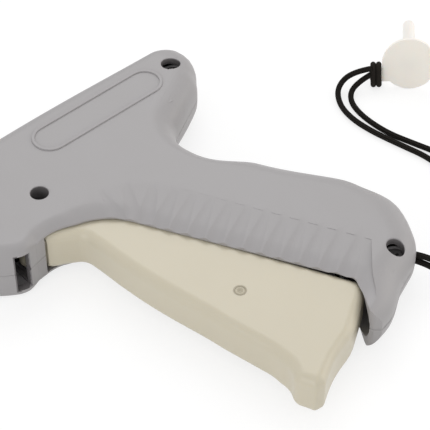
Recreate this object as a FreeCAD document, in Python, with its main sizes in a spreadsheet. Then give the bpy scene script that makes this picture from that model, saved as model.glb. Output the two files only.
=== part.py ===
"""Garment tag attacher: a pistol-shaped tool that shoots plastic fasteners through a needle.

Frame: X runs from the muzzle (-X) to the rear, Y from the trigger's tail up to the barrel, Z from the
right side, which lies on the table at Z = 0, to the left side. X = 0, Y = -11 is the front screw, and
Y = 0 with Z at half the width is the axis of the needle and the pusher rod.
"""
import FreeCAD, Part
import math
import os
import Sketcher

V = FreeCAD.Vector
FULL_TURN = 360.0
QUARTER_TURN = 90.0
TINY = 1e-4

doc = FreeCAD.newDocument("garment_tag_attacher")

# ---------------------------------------------------------------------------------------------------
# Driving dimensions, millimetres and degrees
# ---------------------------------------------------------------------------------------------------
DIMENSIONS = {
    # housing, seen from the side
    "body_width": 20.0, "wall": 2.4, "edge_round": 3.2, "back_round": 8.8,
    "barrel_top": 15.2, "barrel_rear": 72.3, "muzzle_front": -36.0,
    "nose_chamfer": 5.8, "nose_bottom": -24.8, "nose_heel": -17.5, "muzzle_bottom": -7.5,
    "rear_low_x": 69.9, "rear_low_y": -1.9, "web_x": 46.2, "web_y": -14.6,
    "back_x": 75.6, "back_y": -70.8, "heel_x": 67.3, "heel_y": -95.4,
    "toe_x": 34.0, "toe_y": -105.7, "low_boss": 3.5, "low_boss_top": 15.6,
    # lip of the trigger opening
    "lip_top": -24.9, "lip_bend_x": 8.36, "lip_end_x": 44.1, "lip_end_y": -91.9, "lip_radius": 20.0,
    "lip_toe_x": 40.5, "lip_toe_y": -100.9, "opening_front": -8.4,
    # grip band along the lip
    "band_width": 14.6, "band_depth": 1.55, "band_radius": 21.8, "band_centre_x": 9.6,
    "band_centre_y": -43.3, "band_end_x": 56.0, "band_end_y": -86.5, "bend_flutes": 3.0,
    "flute_pitch": 5.4, "flute_radius": 7.0, "flute_depth": 0.45, "lining": 0.6,
    # label panel rim
    "panel_left": 16.4, "panel_right": 52.3, "panel_y": 4.6, "panel_radius": 5.6, "rim_width": 1.0,
    "rim_height": 0.45,
    # ledges of the clip's track, and the seat of the return spring
    "ledge_width": 1.2, "ledge_height": 1.4, "ledge_foot": -20.8, "entry_ledge": 2.8,
    "seat_depth": 4.1, "seat_lean": 2.4,
    # screws
    "screw_front_x": 0.0, "screw_front_y": -11.0, "screw_rear_x": 63.8, "screw_rear_y": 6.1,
    "screw_butt_x": 59.5, "screw_butt_y": -92.4, "screw_nose_x": -26.5, "screw_nose_y": -9.2,
    "boss_radius": 3.9, "head_hole": 2.65, "head_seat": 13.2, "head_radius": 2.4, "head_height": 2.0,
    "shank_radius": 1.3, "shank_low": 4.2,
    # clip channel
    "slot_front": -18.9, "slot_rear": -14.6, "slot_low": 3.2, "entry_front": -22.3, "entry_rear": -11.8,
    "entry_half": 1.7, "filament_gap": 1.6, "filament_x": -17.0,
    # trigger
    "trigger_side": 3.4, "trigger_wall": 2.0, "trigger_edge": 2.9, "pivot_x": -10.5, "pivot_y": -18.0,
    "pin_radius": 1.5, "trigger_hub": 2.8, "hub_low": 5.6, "pin_seat": 1.2,
    "link_pin_x": 18.8, "link_pin_y": -73.7, "link_pin_radius": 1.9, "trigger_range": 15.0, "running_gap": 0.05,
    # drive lever and link
    "lever_x": 30.5, "lever_y": -38.0, "lever_thick": 4.0, "lever_hub": 4.4, "lever_arm_half": 4.2,
    "lever_fork_start": 35.5, "lever_slot_start": 36.0, "lever_tip": 44.5, "lever_lean": 27.2,
    "lever_web_half": 2.4, "lower_arm": 16.07, "lower_arm_angle": -68.05, "link_angle": 48.02,
    "link_length": 27.15, "link_eye": 3.7, "link_half": 2.0, "link_thick": 2.2, "link_gap": 0.4,
    "link_play": 0.95,
    # pusher
    "slider_pin_x": 49.5, "slider_pin_y": -1.0, "slider_pin_radius": 1.25, "slider_play": 1.15,
    "stroke": 40.0, "slider_top": 4.0, "slider_bottom": -4.6, "slider_half": 5.6, "slider_slot": 2.6,
    "slider_front": 11.5, "slider_slot_front": 8.2, "slider_rear": 4.5, "rail_gap": 0.3,
    "rail_height": 1.5, "rail_depth": 4.6, "rail_front": 2.0, "rail_rear": 56.0,
    "rod_radius": 0.75, "rod_tip": -11.5, "rod_seat": 2.9,
    # needle
    "needle_radius": 1.25, "needle_bore": 0.9, "needle_tip": -56.0, "needle_slit": 0.6,
    "base_front": -33.2, "base_rear": -23.4, "base_half": 4.3, "collar_radius": 4.0,
    "collar_front": -39.0, "nose_bore": 4.2,
    # needle lock
    "lock_x": -29.3, "lock_y": 5.4, "lock_radius": 3.2, "lock_flange": 3.8,
    "lock_gap": 0.1, "lock_low": 16.1, "lock_height": 1.4,
    # cutter
    "blade_thick": 0.6, "blade_low": 11.3, "blade_high": 16.8, "blade_edge": -0.95,
    "blade_bottom": -6.5,
    # feed wheel, pawl
    "guide_front": -12.4, "guide_thick": 1.5, "guide_bore": 0.95,
    "wheel_x": -8.9, "wheel_y": 3.0, "wheel_tip": 5.5, "wheel_root": 4.3, "wheel_teeth": 10.0, "wheel_low": 4.2, "wheel_thick": 2.4, "axle_radius": 1.2,
    "pawl_x": 2.6, "pawl_y": 8.7, "pawl_hub": 1.8, "pawl_pin_radius": 0.9, "pawl_tip_x": -4.6,
    "pawl_tip_y": 7.2, "leaf_thick": 0.4,
    # return spring
    "spring_y": -81.8, "spring_radius": 3.2, "spring_wire": 0.55, "spring_turns": 9.0,
    "spring_front": 14.6, "spring_rear": 65.5, "wire_sides": 8.0,
    # lanyard
    "cord_radius": 0.9, "cord_hole": 2.05, "cord_spread": 0.95, "knot_x": 64.4, "knot_y": -88.4,
    "knot_radius": 2.3, "cord_exit_angle": -59.8,
    # needle cap
    "flange_radius": 8.6, "flange_thick": 1.2, "cap_tube": 28.5, "cap_tube_radius": 1.9,
    "cap_bore": 1.3, "cap_x": 127.8, "cap_y": -35.2, "cap_z": 8.64, "cap_heading": 42.2,
    "cap_dip": 13.7, "cap_tab": 12.6, "cap_tab_width": 4.4, "cap_tab_turn": 185.0,
    "cap_tab_shift": -3.75, "tab_start": 6.0,
}

sheet = doc.addObject("Spreadsheet::Sheet", "Sizes")
for row, (alias, value) in enumerate(DIMENSIONS.items(), start=1):
    sheet.set("A%d" % row, alias)
    sheet.set("B%d" % row, repr(value))
    sheet.setAlias("B%d" % row, alias)
doc.recompute()


class Size:
    """A length or angle with its value and the sheet expression that gives it."""

    def __init__(self, value, text=None):
        self.value = float(value)
        self.text = text if text is not None else repr(float(value))

    def join(self, other, sign, value, turned=False):
        other = other if isinstance(other, Size) else Size(other)
        first, second = (other, self) if turned else (self, other)
        return Size(value(first.value, second.value), "(%s %s %s)" % (first.text, sign, second.text))

    def __add__(self, other):
        return self.join(other, "+", lambda a, b: a + b)

    def __radd__(self, other):
        return self.join(other, "+", lambda a, b: a + b, turned=True)

    def __sub__(self, other):
        return self.join(other, "-", lambda a, b: a - b)

    def __rsub__(self, other):
        return self.join(other, "-", lambda a, b: a - b, turned=True)

    def __mul__(self, other):
        return self.join(other, "*", lambda a, b: a * b)

    def __rmul__(self, other):
        return self.join(other, "*", lambda a, b: a * b, turned=True)

    def __truediv__(self, other):
        return self.join(other, "/", lambda a, b: a / b)

    def __neg__(self):
        return 0.0 - self

    def __float__(self):
        return self.value


def size(alias):
    """The driving dimension of this name."""
    return Size(sheet.get(alias), "Sizes." + alias)


def as_size(number):
    return number if isinstance(number, Size) else Size(number)


def bind(feature, name, number):
    """Set a feature's dimension and tie it to the sheet."""
    number = as_size(number)
    if "." not in name:
        setattr(feature, name, number.value)
    feature.setExpression(name, number.text)


D = {alias: size(alias) for alias in DIMENSIONS}
WIDTH = D["body_width"]
MIDDLE = WIDTH / 2
INNER_LEFT = WIDTH - D["wall"]
PIN_LOW = D["pin_seat"] + D["running_gap"]
PIN_HIGH = WIDTH - PIN_LOW


# ---------------------------------------------------------------------------------------------------
# Building a piece from sketches
# ---------------------------------------------------------------------------------------------------
class Piece:
    """A PartDesign body that grows by pads, pockets and rounds."""

    def __init__(self, node, low_side=False):
        self.node = node
        self.body = doc.addObject("PartDesign::Body", node)
        self.body.Label = node
        self.low_side = low_side
        self.count = 0

    def name(self, kind):
        self.count += 1
        return "%s_%s_%d" % (self.node, kind, self.count)

    def plane(self, role):
        return [item for item in self.body.Origin.OriginFeatures if item.Role == role][0]

    def sketch(self, loops, level, role="XY_Plane"):
        """A sketch of closed loops: lists of corners, ("circle", x, y, r) or ("slot", x0, x1, y, r)."""
        sketch = self.body.newObject("Sketcher::SketchObject", self.name("sketch"))
        sketch.AttachmentSupport = [(self.plane(role), "")]
        sketch.MapMode = "FlatFace"
        level = as_size(level)
        sketch.AttachmentOffset = FreeCAD.Placement(V(0, 0, level.value), FreeCAD.Rotation())
        bind(sketch, "AttachmentOffset.Base.z", level)
        for loop in loops:
            if loop[0] == "circle":
                add_circle(sketch, *loop[1:])
            elif loop[0] == "slot":
                add_slot(sketch, *loop[1:])
            else:
                add_polygon(sketch, loop)
        return sketch

    def grow(self, kind, loops, low, high, role, backwards):
        low, high = as_size(low), as_size(high)
        if self.low_side:
            low, high = WIDTH - high, WIDTH - low
        before = self.volume()
        sketch = self.sketch(loops, low, role)
        feature = self.body.newObject(kind, self.name(kind.split("::")[1].lower()))
        feature.Profile = sketch
        bind(feature, "Length", high - low)
        feature.Reversed = backwards
        self.settle(feature)
        change = self.volume() - before
        if (change <= 0) == (kind == "PartDesign::Pad"):
            raise RuntimeError("%s changes nothing (%.4f)" % (feature.Name, change))
        return feature

    def pad(self, loops, low, high, role="XY_Plane"):
        return self.grow("PartDesign::Pad", loops, low, high, role, False)

    def pocket(self, loops, low, high, role="XY_Plane"):
        return self.grow("PartDesign::Pocket", loops, low, high, role, True)

    def settle(self, feature):
        """Work the feature out and stop if it has failed."""
        if hasattr(feature, "Refine"):
            feature.Refine = False
        doc.recompute()
        if "Invalid" in feature.State:
            raise RuntimeError("%s failed" % feature.Name)
        return feature

    def volume(self):
        shape = self.body.Shape
        return 0.0 if shape.isNull() else shape.Volume

    def edges(self, wanted):
        """Names of the tip's edges that a test picks."""
        return ["Edge%d" % (index + 1) for index, edge in enumerate(self.body.Tip.Shape.Edges)
                if wanted(edge)]

    def round(self, wanted, radius):
        names = self.edges(wanted)
        if not names:
            raise RuntimeError("%s has no edge to round" % self.node)
        rounded = self.body.Tip
        feature = self.body.newObject("PartDesign::Fillet", self.name("round"))
        feature.Base = (rounded, names)
        bind(feature, "Radius", radius)
        return self.settle(feature)

    def round_corners(self, corners):
        """Round the upright edges at (x, y, radius) corners, one feature for each radius."""
        for radius in sorted({float(corner[2]) for corner in corners}):
            spots = [corner for corner in corners if float(corner[2]) == radius]

            def at_corner(edge):
                return is_upright(edge) and any(near(edge.Vertexes[0].Point, x, y) for x, y, _ in spots)

            self.round(at_corner, spots[0][2])

    def cut_solid(self, kind, placement, sizes):
        """Take a primitive, such as a SubtractiveCone, out of the body."""
        before = self.volume()
        feature = self.body.newObject("PartDesign::" + kind, self.name(kind.lower()))
        for name, number in sizes.items():
            bind(feature, name, number)
        feature.AttachmentSupport = [(self.plane("XY_Plane"), "")]
        feature.MapMode = "FlatFace"
        feature.AttachmentOffset = placement
        self.settle(feature)
        if self.volume() >= before:
            raise RuntimeError("%s cuts nothing" % feature.Name)
        return feature

    def solid(self):
        return self.body.Shape


def add_polygon(sketch, corners):
    first = sketch.GeometryCount
    points = [V(float(corner[0]), float(corner[1]), 0) for corner in corners]
    for start, end in zip(points, points[1:] + points[:1]):
        sketch.addGeometry(Part.LineSegment(start, end), False)
    for index, corner in enumerate(corners):
        line = first + index
        following = first + (index + 1) % len(corners)
        sketch.addConstraint(Sketcher.Constraint("Coincident", line, 2, following, 1))
        fix_point(sketch, line, 1, corner[0], corner[1])


def add_circle(sketch, x, y, radius):
    circle = sketch.addGeometry(Part.Circle(V(float(x), float(y), 0), V(0, 0, 1), float(radius)), False)
    fix_point(sketch, circle, 3, x, y)
    fix_size(sketch, Sketcher.Constraint("Radius", circle, float(radius)), radius)


def add_slot(sketch, left, right, y, radius):
    """A stadium: two half circles joined by straight runs."""
    x0, x1, level, r = float(left), float(right), float(y), float(radius)
    half = math.pi / 2
    left_arc = Part.ArcOfCircle(Part.Circle(V(x0, level, 0), V(0, 0, 1), r), half, 3 * half)
    right_arc = Part.ArcOfCircle(Part.Circle(V(x1, level, 0), V(0, 0, 1), r), -half, half)
    first = sketch.addGeometry(left_arc, False)
    second = sketch.addGeometry(right_arc, False)
    low = sketch.addGeometry(Part.LineSegment(V(x0, level - r, 0), V(x1, level - r, 0)), False)
    high = sketch.addGeometry(Part.LineSegment(V(x1, level + r, 0), V(x0, level + r, 0)), False)
    for arc, arc_end, line, line_end in ((first, 2, low, 1), (second, 1, low, 2), (second, 2, high, 1),
                                         (first, 1, high, 2)):
        sketch.addConstraint(Sketcher.Constraint("Tangent", arc, arc_end, line, line_end))
    fix_point(sketch, first, 3, left, y)
    fix_size(sketch, Sketcher.Constraint("DistanceX", -1, 1, second, 3, x1), right)
    fix_size(sketch, Sketcher.Constraint("Radius", first, r), radius)


def fix_point(sketch, geometry, end, x, y):
    for kind, number in (("DistanceX", x), ("DistanceY", y)):
        fix_size(sketch, Sketcher.Constraint(kind, -1, 1, geometry, end, float(number)), number)


def fix_size(sketch, constraint, number):
    index = sketch.addConstraint(constraint)
    if isinstance(number, Size):
        sketch.setExpression("Constraints[%d]" % index, number.text)


def near(point, x, y):
    return abs(point.x - float(x)) < TINY and abs(point.y - float(y)) < TINY


def is_upright(edge):
    if len(edge.Vertexes) != 2:
        return False
    start, end = edge.Vertexes[0].Point, edge.Vertexes[1].Point
    return near(start, end.x, end.y) and abs(start.z - end.z) > TINY


def at_level(edge, level):
    return edge.BoundBox.ZMin > float(level) - TINY and edge.BoundBox.ZMax < float(level) + TINY


def box(left, right, low, high):
    """Corners of a rectangle."""
    return [(left, low), (right, low), (right, high), (left, high)]


def turned(x, y, angle, length):
    """The point at this distance and direction, in degrees, from another."""
    return x + length * math.cos(math.radians(angle)), y + length * math.sin(math.radians(angle))


def shape_piece(node, shape, placement=None):
    """A piece whose form is made directly, such as a coil or a cord."""
    feature = doc.addObject("Part::Feature", node)
    feature.Label = node
    feature.Shape = shape
    if placement is not None:
        feature.Placement = placement
    return feature


# ---------------------------------------------------------------------------------------------------
# Housing
# ---------------------------------------------------------------------------------------------------
SCREWS = [(D["screw_%s_x" % spot], D["screw_%s_y" % spot]) for spot in ("front", "rear", "butt", "nose")]

# Outline of a half before the trigger opening is cut: x, y and corner radius. The stretch from the toe
# to the step stands in front of the lip, so that the opening cuts the wall away whole.
STEP_X = D["opening_front"] - D["wall"]
LIP_TILT = math.atan2(float(D["lip_end_y"] - D["lip_top"]), float(D["lip_end_x"] - D["lip_bend_x"]))
ALONG_LIP = V(math.cos(LIP_TILT), math.sin(LIP_TILT), 0)
BEHIND_LIP = V(-math.sin(LIP_TILT), math.cos(LIP_TILT), 0)
OUTLINE = [
    (D["muzzle_front"] + D["nose_chamfer"], D["barrel_top"], 4.6),
    (D["barrel_rear"], D["barrel_top"], 0.0),
    (D["rear_low_x"], D["rear_low_y"], 9.6),
    (D["web_x"], D["web_y"], 6.0),
    (D["back_x"], D["back_y"], 26.0),
    (D["heel_x"], D["heel_y"], 10.6),
    (D["toe_x"], D["toe_y"], 0.0),
    (3.0, -46.0, 6.0),
    (STEP_X, -36.0, 4.6),
    (STEP_X, D["nose_bottom"], 1.5),
    (D["nose_heel"], D["nose_bottom"], 6.0),
    (D["muzzle_front"], D["muzzle_bottom"], 4.6),
    (D["muzzle_front"], D["barrel_top"] - D["nose_chamfer"], 4.6),
]


def trigger_opening():
    """Everything in front of the lip, as the corners of one closed loop."""
    return [
        (STEP_X - 1.0, D["lip_top"]), (D["lip_bend_x"], D["lip_top"]), (D["lip_end_x"], D["lip_end_y"]),
        (D["lip_toe_x"], D["lip_toe_y"]), (D["lip_toe_x"] + 0.3, D["lip_toe_y"] - 1.2),
        (D["lip_toe_x"] + 1.7, D["lip_toe_y"] - 2.6), (D["lip_toe_x"], D["toe_y"] - 6.0),
        (D["toe_x"] - 10.0, D["toe_y"] - 10.0), (STEP_X - 6.0, -60.0), (STEP_X - 6.0, -30.0),
    ]


def housing_half(node, low_side):
    half = Piece(node, low_side)
    outer_face = 0.0 if low_side else float(WIDTH)
    outer_form(half, outer_face)
    hollow(half)
    add_band_lining(half)
    half.pocket([trigger_opening()], MIDDLE - 1, WIDTH + 1)
    half.round_corners([(D["lip_bend_x"], D["lip_top"], D["lip_radius"]),
                        (D["lip_end_x"], D["lip_end_y"], Size(3.0))])
    cut_grip_band(half)
    cut_channel(half)
    add_track_ledges(half)
    add_screw_bosses(half)
    add_rails(half)
    add_spring_seat(half)
    cut_cord_hole(half)
    cut_pin_seats(half)
    if not low_side:
        add_label_rim(half)
    return half


def outer_form(half, outer_face):
    """The solid outer form: a large round along the back and the butt, a small one elsewhere."""
    half.pad([[corner[:2] for corner in OUTLINE]], MIDDLE, WIDTH)
    half.round_corners([corner for corner in OUTLINE if corner[2] > 0])

    def along_back(edge):
        middle = edge.CenterOfGravity
        return middle.x > float(D["toe_x"]) + 1.0 and middle.y < float(D["barrel_top"]) - 1.0

    half.round(lambda edge: at_level(edge, outer_face) and along_back(edge), D["back_round"])
    half.round(lambda edge: at_level(edge, outer_face) and not along_back(edge), D["edge_round"])


def hollow(half):
    """Shell the half, open at the parting face."""
    tip = half.body.Tip
    parting = ["Face%d" % (index + 1) for index, face in enumerate(tip.Shape.Faces)
               if abs(face.BoundBox.ZMin - float(MIDDLE)) < TINY
               and abs(face.BoundBox.ZMax - float(MIDDLE)) < TINY]
    shell = half.body.newObject("PartDesign::Thickness", half.name("shell"))
    shell.Base = (tip, parting)
    bind(shell, "Value", D["wall"])
    shell.Reversed = True
    shell.Join = 1
    doc.recompute()


def cut_channel(half):
    """The way through the nose for the clip, and the needle's bore in the front wall."""
    top, bottom = D["barrel_top"] + 1, D["nose_bottom"] - 1
    exit_high = WIDTH - D["slot_low"]
    wall_top = D["barrel_top"] - D["wall"] - 1
    wall_bottom = D["nose_bottom"] + D["wall"] + 1
    runner = box(D["slot_front"], D["slot_rear"], bottom, wall_bottom)
    half.pocket([runner], MIDDLE, exit_high)
    half.pocket([box(D["entry_front"], D["entry_rear"], wall_top, top)], MIDDLE, MIDDLE + D["entry_half"])
    if half.low_side:
        half.pocket([box(D["slot_front"], D["slot_rear"], wall_top, top)], MIDDLE, exit_high)
    else:
        cut_cheek_gap(half)
    bore = ("circle", 0.0, MIDDLE, D["nose_bore"])
    half.low_side, side = False, half.low_side
    half.pocket([bore], D["muzzle_front"] - 1, D["muzzle_front"] + D["wall"] + 1, "YZ_Plane")
    half.low_side = side


def cut_cheek_gap(half):
    """Leave the upper front corner to the cheek, with a gap for the fasteners' filaments."""
    gap = D["filament_gap"] / 2
    corner = box(D["muzzle_front"] - 1, D["filament_x"] + gap, -gap, D["barrel_top"] + 1)
    half.pocket([corner], MIDDLE - 1, WIDTH + 1)


def add_track_ledges(half):
    """Two ledges on the side plate that keep the clip in its channel."""
    low, high = D["nose_bottom"] + D["wall"] / 2, D["barrel_top"] - D["entry_ledge"]
    ledges = [box(D["slot_rear"], D["slot_rear"] + D["ledge_width"], low, high)]
    front_high = high if half.low_side else -D["filament_gap"] / 2
    ledges.append(box(D["slot_front"] - D["ledge_width"], D["slot_front"], D["ledge_foot"], front_high))
    half.pad(ledges, INNER_LEFT - D["ledge_height"], INNER_LEFT + D["wall"] / 2)


def add_spring_seat(half):
    """The flat seat on the handle's back wall that the return spring bears on."""
    reach = D["spring_radius"] + D["spring_wire"]
    face, back = D["spring_rear"] + 0.1, D["spring_rear"] + D["seat_depth"]
    low, high = D["spring_y"] - reach, D["spring_y"] + reach
    seat = [(face, low), (back, low), (back + D["seat_lean"], high), (face, high)]
    half.pad([seat], MIDDLE, MIDDLE + reach + 1)


def cut_cord_hole(half):
    """The lanyard's hole through the heel of the butt, on the parting plane."""
    along = FreeCAD.Rotation(V(0, 0, 1), direction(D["cord_exit_angle"]))
    base = V(float(D["knot_x"]), float(D["knot_y"]), float(MIDDLE)) + direction(D["cord_exit_angle"])
    half.cut_solid("SubtractiveCylinder", FreeCAD.Placement(base, along),
                   {"Radius": D["cord_hole"], "Height": Size(12.0)})


def add_screw_bosses(half):
    high, low = (SCREWS[0], SCREWS[3]), (SCREWS[1], SCREWS[2])
    half.pad([("circle", x, y, D["boss_radius"]) for x, y in high], MIDDLE, INNER_LEFT + D["wall"] / 2)
    half.pad([("circle", x, y, D["low_boss"]) for x, y in low], MIDDLE, D["low_boss_top"])
    if half.low_side:
        pilot = D["shank_radius"] + D["running_gap"]
        half.pocket([("circle", x, y, pilot) for x, y in SCREWS], MIDDLE, WIDTH - D["shank_low"] + 0.4)
        return
    shank = D["shank_radius"] + 0.3
    half.pocket([("circle", x, y, shank) for x, y in SCREWS], MIDDLE, D["head_seat"] + 1)
    half.pocket([("circle", x, y, D["head_hole"]) for x, y in SCREWS], D["head_seat"], WIDTH + 1)


def add_rails(half):
    """Two ledges that the pusher's carriage slides between."""
    top = D["slider_top"] + D["rail_gap"]
    bottom = D["slider_bottom"] - D["rail_gap"]
    rails = [box(D["rail_front"], D["rail_rear"], top, top + D["rail_height"]),
             box(D["rail_front"], D["rail_rear"] - 2, bottom - D["rail_height"], bottom)]
    half.pad(rails, WIDTH - D["wall"] - D["rail_depth"] + 0.2, INNER_LEFT + D["wall"] / 2)


def cut_pin_seats(half):
    """Blind seats in the side plate for the fixed pins."""
    fit = D["running_gap"] / 2
    seats = [("circle", D["pivot_x"], D["pivot_y"], D["pin_radius"] + fit),
             ("circle", D["lever_x"], D["lever_y"], D["pin_radius"] + fit),
             ("circle", D["wheel_x"], D["wheel_y"], D["axle_radius"] + fit),
             ("circle", D["pawl_x"], D["pawl_y"], D["pawl_pin_radius"] + fit)]
    half.pocket(seats, INNER_LEFT - 1, WIDTH - D["pin_seat"])


def direction(angle):
    angle = math.radians(float(angle))
    return V(math.cos(angle), math.sin(angle), 0)


def slope_frame(half, start, across, drop):
    """A sketch frame on a plane that starts at the side face and falls away along -across."""
    side = -1 if half.low_side else 1
    face = 0.0 if half.low_side else float(WIDTH)
    along = V(0, 0, side).cross(across)
    x_axis = V(across.x, across.y, side * drop)
    x_axis.normalize()
    turn = FreeCAD.Rotation(x_axis, along, V(0, 0, side), "XYZ")
    return FreeCAD.Placement(V(start.x, start.y, face), turn)


def cut_slope(half, frame, loops, depth):
    """Cut away what lies above a sloped plane, inside loops drawn on that plane."""
    before = half.volume()
    sketch = half.body.newObject("Sketcher::SketchObject", half.name("slope"))
    sketch.AttachmentSupport = [(half.plane("XY_Plane"), "")]
    sketch.MapMode = "FlatFace"
    sketch.AttachmentOffset = frame
    for loop in loops:
        if loop[0] == "circle":
            add_circle(sketch, *loop[1:])
        else:
            add_polygon(sketch, loop)
    feature = half.body.newObject("PartDesign::Pocket", half.name("pocket"))
    feature.Profile = sketch
    feature.Reversed = True
    bind(feature, "Length", depth)
    half.settle(feature)
    if half.volume() >= before:
        raise RuntimeError("%s cuts nothing" % feature.Name)


def cut_grip_band(half):
    """Slope the side towards the lip: a cone round the bend and a plane along the handle, both fluted."""
    side = -1 if half.low_side else 1
    face = 0.0 if half.low_side else float(WIDTH)
    slope = float(D["band_depth"] / D["band_width"])
    centre = V(float(D["band_centre_x"]), float(D["band_centre_y"]), face)
    cone_depth = D["band_radius"] * slope
    turn = FreeCAD.Rotation(V(1, 0, 0), FULL_TURN / 2 if half.low_side else 0.0)
    apex = centre - V(0, 0, side * float(cone_depth))
    half.cut_solid("SubtractiveCone", FreeCAD.Placement(apex, turn),
                   {"Radius1": Size(0.0), "Radius2": D["band_radius"], "Height": cone_depth})
    radius = float(D["band_radius"])
    border = centre + BEHIND_LIP * radius
    end = V(float(D["band_end_x"]), float(D["band_end_y"]), face)
    foot = V(float(D["lip_toe_x"]), float(D["lip_toe_y"]), face) + BEHIND_LIP * 3.0
    frame = slope_frame(half, border, BEHIND_LIP, slope)
    local = frame.inverse()
    loop = [border, end, foot, foot - BEHIND_LIP * 10.0, centre - BEHIND_LIP * 6.0, centre]
    cut_slope(half, frame, [[(local.multVec(point).x, local.multVec(point).y) for point in loop]],
              D["edge_round"])
    cut_flutes(half, centre, radius, slope)


def cut_flutes(half, centre, radius, slope):
    """Shallow round grooves across the band, deepest at the lip and gone at the border."""
    side = -1 if half.low_side else 1
    pitch = float(D["flute_pitch"])
    reach = float(D["band_width"])
    drop = slope + float(D["flute_depth"]) / reach
    lift = V(0, 0, side * float(D["flute_radius"]))
    corner = V(float(D["band_end_x"]), float(D["band_end_y"]), centre.z)
    straight = int((corner - centre).dot(ALONG_LIP) / pitch)
    inward = V(-BEHIND_LIP.x, -BEHIND_LIP.y, -side * drop)
    inward.normalize()
    frame = FreeCAD.Placement(centre + BEHIND_LIP * radius + lift,
                              FreeCAD.Rotation(ALONG_LIP, inward.cross(ALONG_LIP), inward, "ZXY"))
    cut_slope(half, frame, [("circle", pitch * (index + 0.5), 0.0, D["flute_radius"])
                            for index in range(straight)], D["band_width"] + 6)
    step = math.degrees(pitch / (radius - reach / 2))
    for index in range(int(D["bend_flutes"].value)):
        bend = FreeCAD.Rotation(V(0, 0, 1), (index + 0.5) * step)
        outward, sideways = bend.multVec(BEHIND_LIP), bend.multVec(ALONG_LIP)
        inward = V(-outward.x, -outward.y, -side * drop)
        frame = FreeCAD.Placement(centre + outward * radius + lift,
                                  FreeCAD.Rotation(sideways, inward.cross(sideways), inward, "ZXY"))
        half.cut_solid("SubtractiveCylinder", frame,
                       {"Radius": D["flute_radius"], "Height": D["band_width"] + 6})


def add_band_lining(half):
    """A thicker side plate behind the grip band."""
    start = V(float(D["band_centre_x"]), float(D["band_centre_y"]), 0) - ALONG_LIP * 8.0
    end = start + ALONG_LIP * 60.0
    reach = float(D["band_radius"]) - 1.0
    lip_side = BEHIND_LIP * 3.0
    loop = [start - lip_side, end - lip_side, end + BEHIND_LIP * reach, start + BEHIND_LIP * reach]
    half.pad([[(point.x, point.y) for point in loop]], INNER_LEFT - D["lining"],
             INNER_LEFT + D["wall"] / 2)


def add_label_rim(half):
    """The raised rim round the bare label panel."""
    left, right, y = D["panel_left"], D["panel_right"], D["panel_y"]
    rim = [("slot", left, right, y, D["panel_radius"]),
           ("slot", left, right, y, D["panel_radius"] - D["rim_width"])]
    half.pad(rim, WIDTH - 0.5, WIDTH + D["rim_height"])
    half.round(lambda edge: at_level(edge, WIDTH + D["rim_height"]), D["rim_height"] / 2)


def cheek(node):
    """The upper front corner of the left side, which carries the needle lock."""
    piece = Piece(node)
    outer_form(piece, WIDTH)
    hollow(piece)
    gap = D["filament_gap"] / 2
    left, right = D["muzzle_front"] - 1, D["filament_x"] - gap
    top, bottom = D["barrel_top"] + 1, D["toe_y"] - 1
    far = D["back_x"] + 1
    rest = [(left, bottom), (far, bottom), (far, top), (right, top), (right, gap), (left, gap)]
    piece.pocket([rest], MIDDLE - 1, WIDTH + 1)
    wall_top = D["barrel_top"] - D["wall"] - 1
    piece.pocket([box(D["entry_front"], D["entry_rear"], wall_top, top)], MIDDLE, MIDDLE + D["entry_half"])
    piece.pocket([("circle", 0.0, MIDDLE, D["nose_bore"])], left, left + D["wall"] + 2, "YZ_Plane")
    piece.pocket([("circle", D["lock_x"], D["lock_y"], D["lock_radius"] + D["lock_gap"])], INNER_LEFT - 1,
                 WIDTH + 1)
    return piece


# ---------------------------------------------------------------------------------------------------
# Screws and pins
# ---------------------------------------------------------------------------------------------------
def housing_screws():
    """The four screws that hold the halves together, with a cross slot in each head."""
    piece = Piece("housing_screws")
    head_top = D["head_seat"] + D["head_height"]
    piece.pad([("circle", x, y, D["head_radius"]) for x, y in SCREWS], D["head_seat"], head_top)
    piece.pad([("circle", x, y, D["shank_radius"]) for x, y in SCREWS], D["shank_low"], D["head_seat"])
    arm, half_width = D["head_radius"] * 0.65, D["head_radius"] * 0.16
    for length, height in ((arm, half_width), (half_width, arm)):
        slots = [box(x - length, x + length, y - height, y + height) for x, y in SCREWS]
        piece.pocket(slots, head_top - D["head_height"] / 2, head_top)
    return piece


def pin(node, x, y, radius, low, high):
    """A plain pin with bevelled ends."""
    piece = Piece(node)
    piece.pad([("circle", x, y, radius)], low, high)
    ends = [edge for edge in piece.edges(lambda edge: at_level(edge, low) or at_level(edge, high))]
    base = piece.body.Tip
    bevel = piece.body.newObject("PartDesign::Chamfer", piece.name("bevel"))
    bevel.Base = (base, ends)
    bind(bevel, "Size", as_size(radius) * 0.15)
    doc.recompute()
    return piece


# ---------------------------------------------------------------------------------------------------
# Trigger, link and lever
# ---------------------------------------------------------------------------------------------------
TRIGGER_OUTLINE = [
    (-6.8, -17.0, 0.0), (6.0, -19.2, 3.6), (16.5, -29.0, 6.0), (18.8, -36.0, 6.0), (46.5, -94.6, 3.4),
    (31.0, -104.2, 40.0), (14.3, -111.4, 1.6), (11.5, -110.6, 1.6), (9.8, -105.0, 3.6),
    (12.7, -101.0, 5.0), (8.0, -78.3, 40.0), (2.5, -41.4, 40.0), (1.1, -29.5, 6.0), (-2.1, -26.0, 6.0),
    (-6.6, -23.4, 0.0),
]
TRIGGER_CAVITY = [
    (0.3, -15.0), (3.4, -29.0), (4.9, -41.4), (10.4, -78.3), (15.1, -101.0), (14.0, -107.6),
    (17.0, -108.4), (38.0, -97.5), (60.0, -86.0), (60.0, -15.0),
]


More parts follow.
